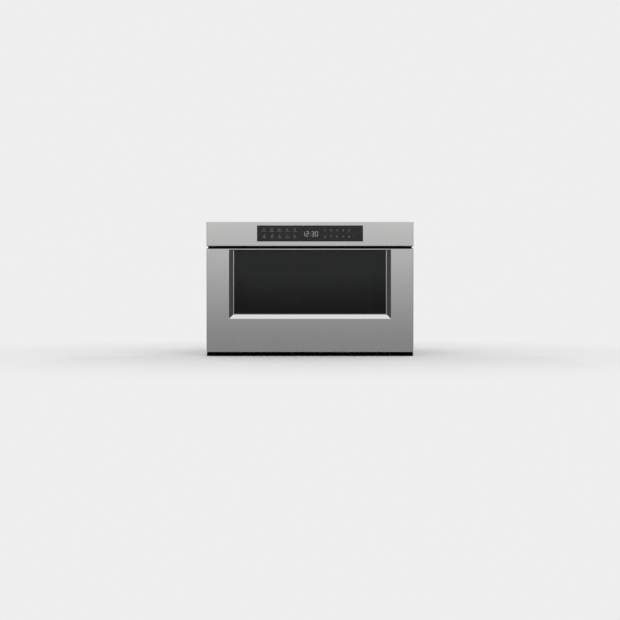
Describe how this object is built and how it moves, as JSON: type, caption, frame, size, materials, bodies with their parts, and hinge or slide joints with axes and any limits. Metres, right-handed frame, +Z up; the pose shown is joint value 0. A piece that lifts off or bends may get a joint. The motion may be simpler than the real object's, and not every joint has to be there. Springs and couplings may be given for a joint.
{
  "type": "microwave drawer",
  "caption": "Built-in microwave drawer with a stainless front, a recessed dark window and a touch panel above; a gear motor pulls the drawer out on telescoping slides.",
  "frame": {"origin": "centre of the bounding box's bottom, drawer closed", "axes": "+X the viewer's right, -Y the way the front faces, +Z up"},
  "size_m": [0.6064, 0.59, 0.3938],
  "materials": {
    "stainless": "brushed along the width",
    "dark_glass": "dark tinted, glossy",
    "panel_glass": "dark tinted, glossy",
    "clear_glass": "clear",
    "zinc_sheet": "zinc plated, dull",
    "dark_paint": "black enamel",
    "cavity_paint": "pale grey enamel, satin",
    "steel": "bright, machined",
    "black_plastic": "fine grain",
    "grey_plastic": "fine grain",
    "pale_plastic": "smooth",
    "glass_ceramic": "smooth, white grey",
    "mica": "dull, pressed sheet",
    "aluminium": "bright sheet",
    "copper": "enamelled wire",
    "core_steel": "varnished laminations",
    "board_green": "solder resist"
  },
  "bodies": {
    "chassis": {"base_plate": "zinc_sheet", "outer_case": "zinc_sheet", "rear_cover": "zinc_sheet", "front_frame": "dark_paint", "cavity_liner": "cavity_paint", "antenna_cover": "mica", "waveguide": "zinc_sheet", "magnetron": "aluminium", "antenna_motor": "zinc_sheet", "transformer_core": "core_steel", "transformer_windings": "copper", "high_voltage_capacitor": "aluminium", "noise_filter": "board_green", "cord_gland": "black_plastic", "fan_shroud": "zinc_sheet", "fan_motor": "core_steel", "exhaust_duct": "grey_plastic", "lamp_holder": "zinc_sheet", "oven_lamp": "clear_glass", "thermal_cutouts": "pale_plastic", "control_fascia": "stainless", "control_glass": "panel_glass", "control_housing": "black_plastic", "control_board": "board_green", "display_module": "black_plastic", "vent_trim": "black_plastic", "drive_motor": "dark_paint", "shaft_bearings": "zinc_sheet", "slide_outer_left": "steel", "slide_outer_right": "steel", "slide_brackets": "zinc_sheet", "interlock_bracket": "pale_plastic", "interlock_switches": "black_plastic"},
    "drawer": {"front_panel": "stainless", "window_bezel": "stainless", "door_glass": "dark_glass", "window_screen": "dark_paint", "inner_glass": "clear_glass", "door_frame": "cavity_paint", "choke_cover": "grey_plastic", "tub_shell": "cavity_paint", "ceramic_tray": "glass_ceramic", "carriage_arm_left": "zinc_sheet", "carriage_arm_right": "zinc_sheet", "slide_inner_left": "steel", "slide_inner_right": "steel", "rack_left": "pale_plastic", "rack_right": "pale_plastic", "latch_head": "pale_plastic"},
    "slide_middle_left": {"slide_middle_left": "steel"},
    "slide_middle_right": {"slide_middle_right": "steel"},
    "outer_cages": {"outer_roller_cages": "steel"},
    "inner_cages": {"inner_roller_cages": "steel"},
    "drive_train": {"drive_shaft": "steel", "rack_pinions": "pale_plastic", "driven_gear": "pale_plastic"},
    "motor_gear": {"motor_pinion": "pale_plastic"},
    "antenna": {"rotating_antenna": "aluminium"},
    "fan": {"fan_blade": "grey_plastic"},
    "interlock": {"interlock_lever": "pale_plastic"}
  },
  "joints": [
    {"name": "drawer_slide", "type": "slide", "parent": "chassis", "child": "drawer", "axis": [0, -1, 0], "range_m": [0, 0.381]},
    {"name": "middle_slide_left", "type": "slide", "parent": "chassis", "child": "slide_middle_left", "axis": [0, -1, 0], "range_m": [0, 0.1905]},
    {"name": "middle_slide_right", "type": "slide", "parent": "chassis", "child": "slide_middle_right", "axis": [0, -1, 0], "range_m": [0, 0.1905]},
    {"name": "outer_cage_slide", "type": "slide", "parent": "chassis", "child": "outer_cages", "axis": [0, -1, 0], "range_m": [0, 0.09525]},
    {"name": "inner_cage_slide", "type": "slide", "parent": "chassis", "child": "inner_cages", "axis": [0, -1, 0], "range_m": [0, 0.28575]},
    {"name": "shaft_spin", "type": "hinge", "parent": "chassis", "child": "drive_train", "pos_m": [0, -0.215, 0.074], "axis": [1, 0, 0], "continuous": true},
    {"name": "motor_spin", "type": "hinge", "parent": "chassis", "child": "motor_gear", "pos_m": [-0.116, -0.19315, 0.04795], "axis": [1, 0, 0], "continuous": true},
    {"name": "interlock_swing", "type": "hinge", "parent": "chassis", "child": "interlock", "pos_m": [0.265, -0.2181, 0.236], "axis": [1, 0, 0], "range_deg": [0, 12]},
    {"name": "fan_spin", "type": "hinge", "parent": "chassis", "child": "fan", "pos_m": [0.155, 0.2, 0.08], "axis": [0, 1, 0], "continuous": true},
    {"name": "antenna_spin", "type": "hinge", "parent": "chassis", "child": "antenna", "pos_m": [0, 0, 0.09], "axis": [0, 0, 1], "continuous": true}
  ],
  "couplings": [
    {"joint": "middle_slide_left", "follows": "drawer_slide", "ratio": 0.5},
    {"joint": "middle_slide_right", "follows": "drawer_slide", "ratio": 0.5},
    {"joint": "outer_cage_slide", "follows": "drawer_slide", "ratio": 0.25},
    {"joint": "inner_cage_slide", "follows": "drawer_slide", "ratio": 0.75},
    {"joint": "shaft_spin", "follows": "drawer_slide", "rad_per_m": 55.556},
    {"joint": "motor_spin", "follows": "drawer_slide", "rad_per_m": -79.365},
    {"joint": "interlock_swing", "follows": "drawer_slide", "rad_per_m": 0.5497}
  ]
}
